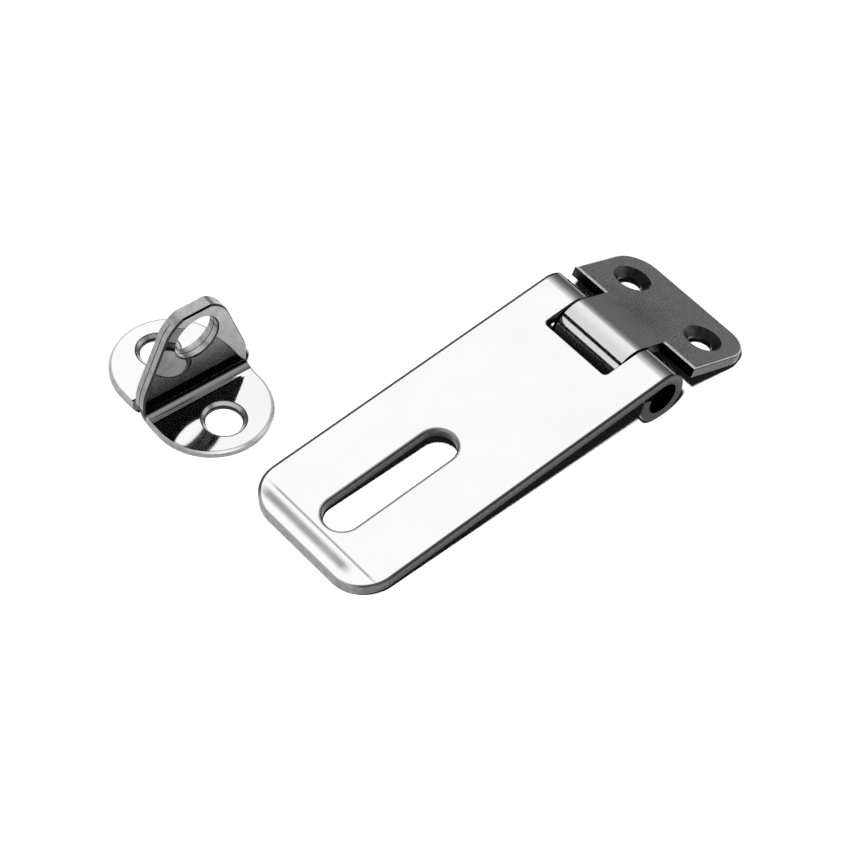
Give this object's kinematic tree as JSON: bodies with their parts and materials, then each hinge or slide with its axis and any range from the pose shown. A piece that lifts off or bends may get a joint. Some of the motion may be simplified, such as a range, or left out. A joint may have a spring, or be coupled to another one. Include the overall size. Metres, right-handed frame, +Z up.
{
  "type": "hasp and staple",
  "caption": "Hinged steel hasp lying open with its staple: a slotted strap swings on rolled knuckles about a screw-fixed leaf, and the slot drops over the staple's padlock eye.",
  "frame": {"origin": "on the table, under the middle of the whole set's box", "axes": "+X from the strap's free end towards the fixing leaf, +Y from the strap towards the staple, +Z up from the table"},
  "size_m": [0.1235, 0.0928, 0.0273],
  "materials": {
    "strap": "polished",
    "fixing_leaf": "polished",
    "hinge_pin": "plain",
    "staple": "polished"
  },
  "bodies": {
    "mounting": {"fixing_leaf": "fixing_leaf", "hinge_pin": "hinge_pin", "staple": "staple"},
    "swinging_strap": {"strap": "strap"}
  },
  "joints": [
    {"name": "strap_swing", "type": "hinge", "parent": "mounting", "child": "swinging_strap", "pos_m": [0.03174, -0.0264, 0.0065], "axis": [0, 1, 0], "range_deg": [-168, 125]}
  ]
}
